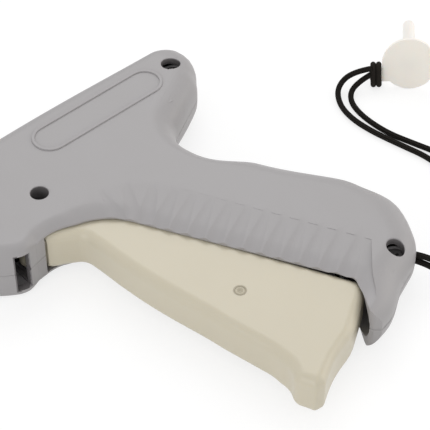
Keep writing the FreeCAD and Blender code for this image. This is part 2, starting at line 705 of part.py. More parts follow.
def trigger():
    """A channel, open to the rear, on a narrow arm to its pivot inside the nose."""
    piece = Piece("trigger")
    low, high = D["trigger_side"], WIDTH - D["trigger_side"]
    piece.pad([[corner[:2] for corner in TRIGGER_OUTLINE]], low, high)
    piece.round_corners([corner for corner in TRIGGER_OUTLINE if corner[2] > 0])

    def outer_front(edge):
        flat = at_level(edge, low) or at_level(edge, high)
        middle = edge.CenterOfGravity
        ahead = (middle - V(18.8, -36.0, middle.z)).dot(BEHIND_LIP) < -6.0
        return flat and middle.y < -29.0 and (ahead or middle.y < -95.5)

    piece.round(outer_front, D["trigger_edge"])
    arm = [(D["pivot_x"], D["pivot_y"] + D["trigger_hub"]), (-7.5, -16.5), (-2.5, -18.6), (4.0, -19.4),
           (4.0, -26.0), (-2.0, -26.1), (-6.0, -22.8), (D["pivot_x"], D["pivot_y"] - D["trigger_hub"])]
    hub = ("circle", D["pivot_x"], D["pivot_y"], D["trigger_hub"])
    piece.pad([arm], D["hub_low"], WIDTH - D["hub_low"])
    piece.pad([hub], D["hub_low"], WIDTH - D["hub_low"])
    wall = D["trigger_side"] + D["trigger_wall"]
    piece.pocket([TRIGGER_CAVITY], wall, WIDTH - wall)
    reach = D["spring_radius"] + D["spring_wire"]
    seat = box(10.5, D["spring_front"] - 0.1, D["spring_y"] - reach, D["spring_y"] + reach)
    piece.pad([seat], wall - D["trigger_wall"] / 2, WIDTH - wall + D["trigger_wall"] / 2)
    cut_lever_notch(piece)
    piece.pocket([("circle", D["pivot_x"], D["pivot_y"], D["pin_radius"] + D["running_gap"])], 0.0, WIDTH)
    piece.pocket([("circle", D["link_pin_x"], D["link_pin_y"], D["link_pin_radius"] + 0.01)], 0.0, WIDTH)
    return piece


def cut_lever_notch(piece):
    """The notch in the side walls that clears the lever's pivot pin as the trigger swings."""
    reach = math.hypot(float(D["lever_x"] - D["pivot_x"]), float(D["lever_y"] - D["pivot_y"]))
    half = float(D["pin_radius"]) + 0.6
    far = [turned(float(D["pivot_x"]), float(D["pivot_y"]), angle, reach + half + 0.3)
           for angle in (-43.5, -30.0)]
    close = [turned(float(D["pivot_x"]), float(D["pivot_y"]), angle, reach - half)
             for angle in (-30.0, -43.5)]
    piece.pocket([far + close], 0.0, WIDTH)


LINK_LOW = MIDDLE + D["lever_thick"] / 2 + D["link_gap"]
LINK_HIGH = LINK_LOW + D["link_thick"]
LOWER_PIN = turned(float(D["lever_x"]), float(D["lever_y"]), float(D["lower_arm_angle"]),
                   float(D["lower_arm"]))


def bar_corners(start, end, half_start, half_end):
    """Corners of a tapered bar between two points."""
    along = V(end[0] - start[0], end[1] - start[1], 0)
    along.normalize()
    side = V(-along.y, along.x, 0)
    corners = []
    for point, half, sign in ((start, half_start, 1), (end, half_end, 1), (end, half_end, -1),
                              (start, half_start, -1)):
        corners.append((point[0] + side.x * half * sign, point[1] + side.y * half * sign))
    return corners


def trigger_link():
    """The bar between the trigger and the lever, with a wide eye at the lever's end."""
    piece = Piece("trigger_link")
    start = (float(D["link_pin_x"]), float(D["link_pin_y"]))
    end = turned(start[0], start[1], float(D["link_angle"]), float(D["link_length"]))
    piece.pad([bar_corners(start, end, float(D["link_half"]), float(D["link_half"]))], LINK_LOW, LINK_HIGH)
    wide = D["pin_radius"] + D["link_play"]
    piece.pad([("circle", start[0], start[1], D["link_eye"])], LINK_LOW, LINK_HIGH)
    piece.pad([("circle", end[0], end[1], wide + 1.6)], LINK_LOW, LINK_HIGH)
    pin_bore = ("circle", start[0], start[1], D["link_pin_radius"] + D["running_gap"])
    piece.pocket([pin_bore], LINK_LOW, LINK_HIGH)
    piece.pocket([("circle", end[0], end[1], wide)], LINK_LOW, LINK_HIGH)
    return piece


def drive_lever():
    """The bent lever: a short arm to the link and a long fork that drives the slider's pin."""
    piece = Piece("drive_lever")
    low, high = MIDDLE - D["lever_thick"] / 2, MIDDLE + D["lever_thick"] / 2
    pivot = (float(D["lever_x"]), float(D["lever_y"]))
    lean = QUARTER_TURN - float(D["lever_lean"])
    half_slot = float(D["slider_pin_radius"] + D["slider_play"])
    prong = float(D["lever_arm_half"])
    web = float(D["lever_web_half"])
    neck = turned(pivot[0], pivot[1], lean, float(D["lever_fork_start"]) - 4.5)
    shoulder = turned(pivot[0], pivot[1], lean, float(D["lever_fork_start"]))
    tip = turned(pivot[0], pivot[1], lean, float(D["lever_tip"]))
    arm = bar_corners(pivot, neck, float(D["lever_hub"]) * 0.8, web)
    fork = bar_corners(neck, shoulder, web, prong)
    prongs = bar_corners(shoulder, tip, prong, prong)
    piece.pad([[arm[0], arm[1], fork[1], prongs[1], prongs[2], fork[2], arm[2], arm[3]]], low, high)
    piece.pad([("circle", pivot[0], pivot[1], D["lever_hub"])], low, high)
    piece.pad([bar_corners(pivot, LOWER_PIN, 3.0, 2.6)], low, high)
    piece.pad([("circle", LOWER_PIN[0], LOWER_PIN[1], D["pin_radius"] + 1.7)], low, high)
    slot_start = turned(pivot[0], pivot[1], lean, float(D["lever_slot_start"]))
    slot_end = turned(pivot[0], pivot[1], lean, float(D["lever_tip"]) + 1.0)
    piece.pocket([bar_corners(slot_start, slot_end, half_slot, half_slot)], low, high)
    piece.pocket([("circle", slot_start[0], slot_start[1], half_slot)], low, high)
    piece.pocket([("circle", pivot[0], pivot[1], D["pin_radius"] + D["running_gap"])], low, high)
    piece.pocket([("circle", LOWER_PIN[0], LOWER_PIN[1], D["pin_radius"] + 0.01)], low, high)
    return piece


# ---------------------------------------------------------------------------------------------------
# Pusher
# ---------------------------------------------------------------------------------------------------
SLIDER_X = D["slider_pin_x"]
SLIDER_FACE = SLIDER_X - D["slider_front"]


def pusher_slider():
    """The carriage on the rails, slotted for the lever's fork."""
    piece = Piece("pusher_slider")
    low, high = MIDDLE - D["slider_half"], MIDDLE + D["slider_half"]
    slot_low, slot_high = MIDDLE - D["slider_slot"], MIDDLE + D["slider_slot"]
    rear = SLIDER_X + D["slider_rear"]
    bottom, top = D["slider_bottom"], D["slider_top"]
    nose = [(SLIDER_FACE, bottom + 1.5), (SLIDER_FACE + 1.5, bottom), (rear, bottom), (rear, top),
            (SLIDER_FACE + 1.5, top), (SLIDER_FACE, top - 1.5)]
    piece.pad([nose], low, high)
    fork_slot = box(SLIDER_X - D["slider_slot_front"], rear + 1, bottom - 1, top + 1)
    piece.pocket([fork_slot], slot_low, slot_high)
    piece.pocket([("circle", SLIDER_X, D["slider_pin_y"], D["slider_pin_radius"] + 0.01)], low, high)
    seat = [("circle", 0.0, MIDDLE, D["rod_radius"] + 0.01)]
    piece.pocket(seat, SLIDER_FACE - 1, SLIDER_FACE + D["rod_seat"], "YZ_Plane")
    return piece


def rod(node, radius, front, rear, bore=None):
    """A straight wire or tube on the needle's axis."""
    piece = Piece(node)
    loops = [("circle", 0.0, MIDDLE, radius)]
    if bore is not None:
        loops.append(("circle", 0.0, MIDDLE, bore))
    piece.pad(loops, front, rear, "YZ_Plane")
    return piece


# ---------------------------------------------------------------------------------------------------
# Needle, its base, its lock and the cutter
# ---------------------------------------------------------------------------------------------------
def needle():
    """A steel tube, slit along its left side and cut to a point."""
    piece = rod("needle", D["needle_radius"], D["needle_tip"], D["base_rear"], D["needle_bore"])
    half = D["needle_slit"] / 2
    piece.pocket([box(D["needle_tip"] - 1, D["base_rear"] + 1, -half, half)], MIDDLE,
                 MIDDLE + D["needle_radius"] + 1)
    radius = float(D["needle_radius"])
    tip = float(D["needle_tip"])
    point = [(tip - 1.0, -radius), (tip + 6.0 * radius, radius + 0.2), (tip - 1.0, radius + 0.2)]
    piece.pocket([point], MIDDLE - radius - 1, MIDDLE + radius + 1)
    return piece


def needle_base():
    """The moulded hub that the needle is set in, clamped in the nose."""
    piece = Piece("needle_base")
    half = D["base_half"]
    piece.pad([box(D["base_front"], D["base_rear"], -half, half)], MIDDLE - half, MIDDLE + half)
    piece.pad([("circle", 0.0, MIDDLE, D["collar_radius"])], D["collar_front"], D["base_front"] + 1,
              "YZ_Plane")
    piece.pocket([("circle", 0.0, MIDDLE, D["needle_radius"] + 0.01)], D["collar_front"] - 1,
                 D["base_rear"] + 1, "YZ_Plane")
    slit = D["filament_gap"] / 2
    piece.pocket([box(D["collar_front"] - 1, D["base_rear"] + 1, -slit, slit)], MIDDLE, MIDDLE + half + 1)
    return piece


def needle_lock_knob():
    """The round knob in the cheek: flange and cam inside, coin slot outside."""
    piece = Piece("needle_lock_knob")
    x, y = D["lock_x"], D["lock_y"]
    flange_high = D["lock_low"] + D["lock_height"]
    top = WIDTH + 0.3
    piece.pad([("circle", x, y, D["lock_flange"])], D["lock_low"], flange_high)
    piece.pad([("circle", x, y, D["lock_radius"])], flange_high, top)
    piece.pad([("circle", x, y + 1.2, D["lock_flange"] - 1.8)], D["lock_low"] - 1.2, D["lock_low"])
    piece.pocket([box(x - 2.4, x + 2.4, y - 0.5, y + 0.5)], top - 1.4, top)
    return piece


def cutter_blade():
    """The knife beside the needle's rear end, which parts the fastener from the clip."""
    piece = Piece("cutter_blade")
    rear = D["base_rear"] + D["blade_thick"]
    piece.pad([box(D["base_rear"], rear, D["blade_bottom"], D["blade_edge"])], D["blade_low"],
              D["blade_high"])
    edge = [(float(D["base_rear"]) - 0.1, float(D["blade_edge"]) + 0.1),
            (float(D["base_rear"]) - 0.1, float(D["blade_edge"]) - 1.2),
            (float(rear), float(D["blade_edge"]) + 0.1)]
    piece.pocket([edge], D["blade_low"], D["blade_high"])
    return piece


# ---------------------------------------------------------------------------------------------------
# Feed
# ---------------------------------------------------------------------------------------------------
def feed_track_guide():
    """The wall behind the clip, with the rod's bore and a window for the feed wheel."""
    piece = Piece("feed_track_guide")
    rear = D["guide_front"] + D["guide_thick"]
    top = D["barrel_top"] - D["wall"]
    piece.pad([box(D["guide_front"], rear, D["screw_front_y"] - 3, top)], D["wall"], INNER_LEFT)
    piece.pocket([("circle", 0.0, MIDDLE, D["guide_bore"])], D["guide_front"] - 1, rear + 1, "YZ_Plane")
    reach = D["wheel_tip"] + 0.4
    window = box(D["guide_front"] - 1, rear + 1, D["wheel_y"] - reach, D["wheel_y"] + reach)
    top_corners = D["edge_round"] - D["wall"] + 0.2
    piece.round(lambda edge: edge.BoundBox.XLength > 1.0 and edge.BoundBox.YMin > float(top) - TINY,
                top_corners)
    piece.pocket([window], D["wheel_low"] - 0.4, D["wheel_low"] + D["wheel_thick"] + 1.6)
    return piece


def feed_wheel():
    """The ratchet wheel that carries the clip down, one tooth for each fastener."""
    piece = Piece("feed_wheel")
    x, y = float(D["wheel_x"]), float(D["wheel_y"])
    step = FULL_TURN / float(D["wheel_teeth"])
    outline = []
    for tooth in range(int(D["wheel_teeth"].value)):
        outline.append(turned(x, y, tooth * step, float(D["wheel_tip"])))
        outline.append(turned(x, y, tooth * step + step * 0.1, float(D["wheel_root"])))
        outline.append(turned(x, y, tooth * step + step * 0.55, float(D["wheel_root"]) + 0.3))
    low, high = D["wheel_low"], D["wheel_low"] + D["wheel_thick"]
    piece.pad([outline], low, high)
    piece.pocket([("circle", x, y, D["axle_radius"] + D["running_gap"])], low, high)
    return piece


def feed_wheel_axle():
    """The wheel's pin with a collar on each side of the wheel."""
    piece = Piece("feed_wheel_axle")
    x, y = D["wheel_x"], D["wheel_y"]
    collar = D["axle_radius"] + 0.6
    low, high = D["wheel_low"], D["wheel_low"] + D["wheel_thick"]
    piece.pad([("circle", x, y, D["axle_radius"])], PIN_LOW, PIN_HIGH)
    piece.pad([("circle", x, y, collar)], D["wall"], low - 0.1)
    piece.pad([("circle", x, y, collar)], high + 0.1, high + 1.0)
    return piece


def feed_pawl():
    """The click that keeps the wheel from turning back."""
    piece = Piece("feed_pawl")
    low, high = D["wheel_low"], D["wheel_low"] + D["wheel_thick"]
    pivot = (float(D["pawl_x"]), float(D["pawl_y"]))
    tip = (float(D["pawl_tip_x"]), float(D["pawl_tip_y"]))
    piece.pad([bar_corners(pivot, tip, float(D["pawl_hub"]) * 0.8, 0.55)], low, high)
    piece.pad([("circle", pivot[0], pivot[1], D["pawl_hub"])], low, high)
    piece.pocket([("circle", pivot[0], pivot[1], D["pawl_pin_radius"] + D["running_gap"])], low, high)
    return piece


def pawl_spring():
    """The leaf from the top wall down onto the pawl's back."""
    piece = Piece("pawl_spring")
    low, high = D["wheel_low"] + 0.2, D["wheel_low"] + D["wheel_thick"] - 0.2
    top = D["barrel_top"] - D["wall"]
    thick = D["leaf_thick"]
    free_x, free_y = D["pawl_x"] - 5.0, D["pawl_y"] + 1.05
    bend_x = D["pawl_x"] + 5.4
    leaf = [(bend_x + 4.0, top), (bend_x, top), (free_x, free_y + thick),
            (free_x - 1.2, free_y + thick + 0.5), (free_x - 1.2, free_y + 0.5), (free_x, free_y),
            (bend_x, top - thick), (bend_x + 4.0, top - thick)]
    piece.pad([leaf], low, high)
    return piece


# ---------------------------------------------------------------------------------------------------
# Spring, lanyard and needle cap
# ---------------------------------------------------------------------------------------------------
def return_spring():
    """The coil between the trigger's front wall and the handle's back wall."""
    wire = float(D["spring_wire"])
    length = float(D["spring_rear"] - D["spring_front"]) - 2 * wire
    helix = Part.makeHelix(length / float(D["spring_turns"]), length, float(D["spring_radius"]))
    sides = int(D["wire_sides"].value)
    corners = [turned(float(D["spring_radius"]), 0.0, FULL_TURN * side / sides, wire)
               for side in range(sides)]
    profile = Part.makePolygon([V(x, 0, z) for x, z in corners + corners[:1]])
    coil = Part.Wire(helix.Edges).makePipeShell([profile], True, True)
    turn = FreeCAD.Rotation(V(0, 0, 1), V(1, 0, 0))
    start = V(float(D["spring_front"]) + wire, float(D["spring_y"]), float(MIDDLE))
    return shape_piece("return_spring", coil, FreeCAD.Placement(start, turn))


def rounded_path(points, closed=False):
    """Straight runs through the points, joined by tangent arcs; also gives the smallest bend."""
    count = len(points)
    corners = range(count) if closed else range(1, count - 1)
    bends = {}
    for index in corners:
        before = points[index] - points[index - 1]
        after = points[(index + 1) % count] - points[index]
        turn = before.getAngle(after)
        reach = 0.45 * min(before.Length, after.Length)
        first = points[index] - before * (reach / before.Length)
        last = points[index] + after * (reach / after.Length)
        radius = reach / math.tan(turn / 2)
        inward = last + first - points[index] * 2
        centre_gap = math.hypot(reach, radius)
        middle = points[index] + inward * ((centre_gap - radius) / inward.Length)
        bends[index] = (first, middle, last, radius)
    edges = []
    spots = list(range(count)) + ([0] if closed else [])
    for start, end in zip(spots, spots[1:]):
        leave = bends[start][2] if start in bends else points[start]
        arrive = bends[end][0] if end in bends else points[end]
        edges.append(Part.makeLine(leave, arrive))
        if end in bends:
            first, middle, last, _ = bends[end]
            edges.append(Part.Arc(first, middle, last).toShape())
    return Part.Wire(edges), min(bend[3] for bend in bends.values())


def tube_along(points, radius, closed=False):
    path, bend = rounded_path(points, closed)
    start = path.Edges[0]
    heading = start.tangentAt(start.FirstParameter)
    profile = Part.Wire(Part.makeCircle(radius, start.valueAt(start.FirstParameter), heading))
    return path.makePipeShell([profile], True, False), path.Length, bend


STRANDS = {
    "lanyard_strand_outer": [
        (65.7, -90.65, 10.95), (69.2, -96.0, 11.2), (73.0, -99.8, 6.8), (79.2, -101.4, 1.6),
        (91.0, -96.2, 1.0), (101.0, -86.8, 1.0), (106.4, -75.5, 1.0), (107.4, -63.4, 1.0),
        (105.1, -53.6, 1.0), (103.0, -43.6, 1.0), (102.5, -35.4, 1.0), (104.3, -28.0, 1.0),
        (108.6, -22.6, 2.2), (114.3, -23.2, 5.6), (118.2, -27.0, 7.1),
    ],
    "lanyard_strand_inner": [
        (65.7, -90.65, 9.05), (68.7, -96.0, 8.8), (70.9, -101.6, 4.8), (77.4, -105.1, 1.0),
        (90.5, -101.6, 1.0), (102.6, -92.4, 1.0), (110.4, -80.2, 1.0), (112.3, -67.6, 1.0),
        (108.6, -56.0, 1.0), (105.8, -46.4, 1.0), (105.8, -35.4, 1.0), (108.6, -28.0, 1.0),
        (113.6, -25.6, 2.6), (117.9, -27.5, 4.8),
    ],
}


def lanyard_strand(node):
    points = [V(*point) for point in STRANDS[node]]
    shape, length, bend = tube_along(points, float(D["cord_radius"]))
    print("%s: %.1f mm long, tightest bend %.1f mm" % (node, length, bend))
    return shape_piece(node, shape)


def lanyard_knot():
    """The stopper knot inside the butt, wider than the hole."""
    radius = float(D["knot_radius"])
    centre = V(float(D["knot_x"]), float(D["knot_y"]), float(MIDDLE))
    lobes = [Part.makeSphere(radius, centre + V(0, 0, offset)) for offset in (-1.6, 0.0, 1.6)]
    return shape_piece("lanyard_knot", lobes[0].fuse(lobes[1:]).removeSplitter())


def cap_frame():
    """The cap's own frame: Z along its tube, X towards its tab."""
    heading, dip = math.radians(float(D["cap_heading"])), math.radians(float(D["cap_dip"]))
    axis = V(math.cos(heading) * math.cos(dip), math.sin(heading) * math.cos(dip), -math.sin(dip))
    level = V(math.sin(heading), -math.cos(heading), 0)
    upright = level.cross(axis)
    upright = upright if upright.z > 0 else upright * -1
    turn = math.radians(float(D["cap_tab_turn"]))
    tab = level * math.cos(turn) + upright * math.sin(turn)
    rotation = FreeCAD.Rotation(tab, axis.cross(tab), axis, "ZXY")
    return FreeCAD.Placement(V(float(D["cap_x"]), float(D["cap_y"]), float(D["cap_z"])), rotation)


def needle_cap():
    """The soft cap that covers the needle when the tool is put away: flange, tube and tab."""
    piece = Piece("needle_cap")
    half = D["cap_tab_width"] / 2
    piece.pad([("circle", 0.0, 0.0, D["flange_radius"])], 0.0, D["flange_thick"])
    shift = D["cap_tab_shift"]
    piece.pad([box(D["tab_start"], D["cap_tab"], shift - half, shift + half)], 0.0, D["flange_thick"])
    piece.pad([("circle", 0.0, 0.0, D["cap_tube_radius"] + 0.7)], D["flange_thick"], D["flange_thick"] + 2)
    piece.pad([("circle", 0.0, 0.0, D["cap_tube_radius"])], 0.0, D["cap_tube"])
    piece.round(lambda edge: at_level(edge, D["cap_tube"]), (D["cap_tube_radius"] - D["cap_bore"]) * 0.8)
    piece.round(lambda edge: is_upright(edge) and edge.Vertexes[0].Point.x > float(D["cap_tab"]) - TINY,
                half * 0.6)
    piece.pocket([("circle", 0.0, 0.0, D["cap_bore"])], D["flange_thick"], D["cap_tube"] + 1)
    piece.body.Placement = cap_frame()
    return piece


def cord_hitch():
    """Two turns of the cord round the cap's tab."""
    radius = float(D["cord_radius"])
    clear = radius + 0.2
    shift = float(D["cap_tab_shift"])
    half = float(D["cap_tab_width"]) / 2 + clear
    middle = float(D["flange_thick"]) / 2
    reach = middle + clear
    turns = []
    for offset in (1.05, 2.8):
        x = float(D["flange_radius"]) + offset
        low, high = shift - half, shift + half
        loop = [V(x, low, middle - reach), V(x, high, middle - reach), V(x, high, middle + reach),
                V(x, low, middle + reach)]
        turns.append(tube_along(loop, radius, closed=True)[0])
    return shape_piece("cord_hitch", turns[0].fuse(turns[1]), cap_frame())


# ---------------------------------------------------------------------------------------------------
# Build, check and write
# ---------------------------------------------------------------------------------------------------
pieces = {
    "left_housing_shell": housing_half("left_housing_shell", False),
    "right_housing_shell": housing_half("right_housing_shell", True),
    "muzzle_cheek": cheek("muzzle_cheek"),
    "housing_screws": housing_screws(),
    "trigger_pivot_pin": pin("trigger_pivot_pin", D["pivot_x"], D["pivot_y"], D["pin_radius"], PIN_LOW,
                             PIN_HIGH),
    "lever_pivot_pin": pin("lever_pivot_pin", D["lever_x"], D["lever_y"], D["pin_radius"], PIN_LOW,
                           PIN_HIGH),
    "pawl_pin": pin("pawl_pin", D["pawl_x"], D["pawl_y"], D["pawl_pin_radius"], PIN_LOW, PIN_HIGH),
    "trigger": trigger(),
    "trigger_link_pin": pin("trigger_link_pin", D["link_pin_x"], D["link_pin_y"], D["link_pin_radius"],
                            D["trigger_side"], WIDTH - D["trigger_side"]),
    "trigger_link": trigger_link(),
    "drive_lever": drive_lever(),
    "link_lever_pin": pin("link_lever_pin", LOWER_PIN[0], LOWER_PIN[1], D["pin_radius"],
                          MIDDLE - D["lever_thick"] * 0.7, LINK_HIGH + 0.2),
    "pusher_slider": pusher_slider(),
    "slider_pin": pin("slider_pin", SLIDER_X, D["slider_pin_y"], D["slider_pin_radius"],
                      MIDDLE - D["slider_half"], MIDDLE + D["slider_half"]),
    "pusher_rod": rod("pusher_rod", D["rod_radius"], D["rod_tip"], SLIDER_FACE + D["rod_seat"]),
    "needle": needle(),
    "needle_base": needle_base(),
    "needle_lock_knob": needle_lock_knob(),
    "cutter_blade": cutter_blade(),
    "feed_track_guide": feed_track_guide(),
    "feed_wheel": feed_wheel(),
    "feed_wheel_axle": feed_wheel_axle(),
    "feed_pawl": feed_pawl(),
    "pawl_spring": pawl_spring(),
    "return_spring": return_spring(),
    "lanyard_knot": lanyard_knot(),
    "lanyard_strand_outer": lanyard_strand("lanyard_strand_outer"),
    "lanyard_strand_inner": lanyard_strand("lanyard_strand_inner"),
    "cord_hitch": cord_hitch(),
    "needle_cap": needle_cap(),
}

doc.recompute()
for item in doc.Objects:
    if "Invalid" in item.State or "Error" in item.State:
        raise RuntimeError("%s failed: %s" % (item.Name, item.State))

os.makedirs("parts", exist_ok=True)
for node, piece in pieces.items():
    shape = piece.solid() if isinstance(piece, Piece) else piece.Shape
    if shape.isNull() or not shape.isValid():
        raise RuntimeError("%s has no valid shape" % node)
    shape.exportStep("parts/%s.step" % node)
    print("%-24s %9.1f mm3 %3d solids %4d faces" % (node, shape.Volume, len(shape.Solids), len(shape.Faces)))
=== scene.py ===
import math
import bmesh
import bpy
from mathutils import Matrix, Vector, geometry


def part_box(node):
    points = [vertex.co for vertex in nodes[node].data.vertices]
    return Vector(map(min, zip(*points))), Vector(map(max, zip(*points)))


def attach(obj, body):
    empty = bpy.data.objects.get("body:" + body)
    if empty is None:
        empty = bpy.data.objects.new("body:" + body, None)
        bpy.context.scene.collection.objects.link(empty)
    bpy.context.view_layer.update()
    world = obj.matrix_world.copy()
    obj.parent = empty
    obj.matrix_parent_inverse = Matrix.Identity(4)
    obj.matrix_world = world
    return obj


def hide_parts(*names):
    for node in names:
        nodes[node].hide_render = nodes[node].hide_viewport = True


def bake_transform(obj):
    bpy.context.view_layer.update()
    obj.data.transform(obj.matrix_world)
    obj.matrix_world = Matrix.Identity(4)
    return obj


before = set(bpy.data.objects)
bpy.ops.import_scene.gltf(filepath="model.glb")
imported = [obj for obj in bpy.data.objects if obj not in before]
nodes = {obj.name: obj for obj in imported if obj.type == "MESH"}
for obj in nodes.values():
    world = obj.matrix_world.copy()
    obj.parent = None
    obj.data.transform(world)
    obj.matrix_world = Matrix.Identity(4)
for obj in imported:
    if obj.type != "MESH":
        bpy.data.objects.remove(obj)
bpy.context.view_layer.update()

MM = 0.001

# Camera: a long lens on a tall stand. The tool lies on its right side, as it is put down on a bench, and
# is looked down on from in front of its trigger.
VIEW_HEADING = math.radians(47.6)
VIEW_DROP = math.radians(46.0)
VIEW_DISTANCE = 458.3 * MM
VIEW_CENTRE = Vector((30.6, -50.8, 20.0)) * MM
LENS, SENSOR_WIDTH, NEAREST = 138.14, 36.0, 10.0 * MM
away = Vector((math.cos(VIEW_HEADING), math.sin(VIEW_HEADING), 0))
look = away * math.cos(VIEW_DROP) - Vector((0, 0, math.sin(VIEW_DROP)))
camera = bpy.data.objects.new("camera", bpy.data.cameras.new("camera"))
bpy.context.scene.collection.objects.link(camera)
camera.data.lens = LENS
camera.data.sensor_width = SENSOR_WIDTH
camera.data.clip_start = NEAREST
camera.location = VIEW_CENTRE - look * VIEW_DISTANCE
camera.rotation_euler = look.to_track_quat("-Z", "Y").to_euler()
bpy.context.scene.camera = camera


# Housing: two injection-moulded halves and the cheek at the muzzle, in satin grey ABS with the fine grain
# of a spark-eroded mould. The right half takes the works and the left half closes over them. The walls of
# the screw wells and of the clip's channel are painted dark grey, a painted shade of these deep recesses.
class Reading:
    """A socket's value, on which plain arithmetic adds the Math nodes."""

    def __init__(self, finish, socket):
        self.finish, self.socket = finish, socket

    def maths(self, operation, *others):
        return self.finish.node("ShaderNodeMath", {"operation": operation}, self, *others)

    def __add__(self, other):
        return self.maths("ADD", other)

    def __sub__(self, other):
        return self.maths("SUBTRACT", other)

    def __rsub__(self, other):
        return self.maths("MULTIPLY_ADD", -1.0, other)

    def __mul__(self, other):
        return self.maths("MULTIPLY", other)

    __radd__ = __add__
    __rmul__ = __mul__


class Finish:
    """A material under construction: its tree, its shader and one way to add any node."""

    def __init__(self, name, colour, roughness, **sockets):
        self.material = bpy.data.materials.new(name)
        self.material.use_nodes = True
        self.tree = self.material.node_tree
        self.shader = self.tree.nodes["Principled BSDF"]
        self.colour, self.roughness = colour, roughness
        self.put(self.shader.inputs["Base Color"], colour)
        self.put(self.shader.inputs["Roughness"], roughness)
        for socket, value in sockets.items():
            self.put(self.shader.inputs[socket.replace("_", " ")], value)

    def put(self, socket, value):
        if isinstance(value, Reading):
            self.tree.links.new(value.socket, socket)
        elif socket.type == "RGBA":
            socket.default_value = tuple(value) + (1.0,)
        else:
            socket.default_value = value

    def node(self, kind, settings, *values, out=0, **named):
        node = self.tree.nodes.new(kind)
        for name, value in settings.items():
            setattr(node, name, value)
        for socket, value in zip(node.inputs, values):
            self.put(socket, value)
        for name, value in named.items():
            self.put(node.inputs[name], value)
        return Reading(self, node.outputs[out])

    def noise(self, size, detail=2.0):
        """A cloudy pattern whose patches are about this many metres across."""
        place = self.node("ShaderNodeTexCoord", {}, out="Object")
        return self.node("ShaderNodeTexNoise", {}, Vector=place, Scale=1.0 / size, Detail=detail)

    def mix(self, amount, least, most):
        return self.node("ShaderNodeMix", {"data_type": "RGBA"}, Factor=amount, A=least, B=most, out="Result")

    def tint(self, amount, other):
        """The finish's own colour gives way to another where the amount is high."""
        self.put(self.shader.inputs["Base Color"], self.mix(amount, self.colour, other))

    def wear(self, pattern, spread):
        """Roughness varies by this spread about the finish's own, as the pattern goes from 0 to 1."""
        self.put(self.shader.inputs["Roughness"], pattern * spread + (self.roughness - spread / 2))

    def bump(self, height, depth):
        normal = self.node("ShaderNodeBump", {}, Height=height, Distance=depth, out="Normal")
        self.put(self.shader.inputs["Normal"], normal)


def dress(finish, *names):
    """Give CAD nodes this finish."""
    for name in names:
        for material_slot in nodes[name].material_slots:
            material_slot.material = finish.material


WARM_GREY, WARM_SHARE = (0.388, 0.372, 0.366), 0.35
grey = Finish("grey_abs", colour=(0.368, 0.356, 0.362), roughness=0.43, Specular_IOR_Level=0.45)
mottle = grey.noise(9 * MM, detail=3.0)
grey.tint(mottle * WARM_SHARE, WARM_GREY)
grey.wear(mottle, spread=0.10)
grey.bump(grey.noise(0.35 * MM), depth=0.018 * MM)
dress(grey, "muzzle_cheek")
# Painted shade: a dark grey on the walls of the screw wells and the clip's channel, for the shade deep inside
# them.
painted_shade_grey = Finish("painted_well_shade", colour=(0.15, 0.14, 0.142), roughness=0.6)
painted_shade_grey.bump(painted_shade_grey.noise(0.35 * MM), depth=0.02 * MM)

# Where the moulded walls swell or are drawn in beyond the plain solid, in millimetres: a place, its reach
# along x and y, and the push, whose third figure lifts the wall between the seam and the side.
SHELL_SWELLS = (
    ((51.8, -25.2), (17.0, 17.0), (-4.0, -2.1, 0.0)),
    ((60.1, -41.2), (26.0, 26.0), (-1.9, -1.0, 0.0)),
    ((75.0, -83.0), (16.0, 16.0), (3.1, 0.3, 0.0)),
    ((64.0, -97.0), (8.0, 8.0), (0.4, 0.5, 0.0)),
    ((46.0, -104.0), (13.0, 10.0), (0.3, -2.6, 0.0)),
    ((39.5, -101.0), (6.0, 6.0), (-1.7, -0.3, 0.0)),
    ((71.5, 8.0), (10.0, 9.0), (1.9, -0.9, 0.9)),
    ((72.0, -4.0), (8.0, 8.0), (-1.0, 0.0, 0.0)),
    ((60.0, -8.0), (15.0, 12.0), (0.0, 0.0, 1.2)),
    ((22.0, 16.5), (48.0, 6.0), (0.0, 1.0, 0.0)),
    ((-7.0, -26.0), (9.0, 7.0), (0.3, 1.7, 0.0)),
    ((-24.0, -19.0), (12.0, 8.0), (-0.5, -1.0, 0.0)),
)
# The lip beside the trigger, where the wall thins towards the edge and the flutes of the grip run out in
# scallops. The flutes fade in between two places, counted in flutes from their start.
LIP = ((-10.8, -24.9), (-3.6, -24.9), (1.9, -25.7), (6.7, -27.8), (10.9, -31.2), (14.0, -35.5),
       (44.1, -91.9), (40.5, -100.9))
LIP_REACH, LIP_THINNING, UNDER_LIP = 5.0, 0.75, 6.9
LIP_RUN = (Vector(LIP[-2]) - Vector(LIP[-3])).normalized()
FLUTE_START, FLUTE_PITCH, FLUTE_RISE = Vector((9.6, -43.3)), 5.4, 0.6
FLUTES_FADE_FROM, FLUTES_FULL_FROM = -3.0, -1.0
# The seam between the halves, its groove, and each half's width.
left_low, left_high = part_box("left_housing_shell")
SEAM = left_low[2]
SEAM_GROOVE, SEAM_TOLERANCE, SEAM_CORNER = 0.22 * MM, 0.001 * MM, math.radians(40)
HALF_WIDTH = 10.0
# The deep wells of the screws, with eased rims, and the clip's channel, their walls painted dark as painted
# shade.
WELLS = Vector((0.0, -11.0)), Vector((63.8, 6.1)), Vector((59.5, -92.4)), Vector((-26.5, -9.2))
WELL_RADIUS, WELL_WALL, WELL_STEEPNESS = 2.65, 0.12, 0.3
WELL_RIM, RIM_TOLERANCE, RIM_CORNER = 0.3 * MM, 0.04, math.radians(50)
CHANNEL = (-19.2, -11.5), (-24.0, -2.0), (-7.3, 7.3)
# A spot under the barrel's rear where the wall is rubbed smooth.
RUBBED, RUBBED_REACH, RUBS = Vector((54.2, -5.5)), 3.2, 12
# How finely a solid's skin is divided, and the corner that its shading keeps sharp.
TOUCHING, LONGEST_EDGE, DIVISIONS = 0.0005 * MM, 2.5 * MM, 6
FLUTE_EDGE, FLUTE_DIVISIONS = 1.2 * MM, 2
SHARP_CORNER = math.radians(32)


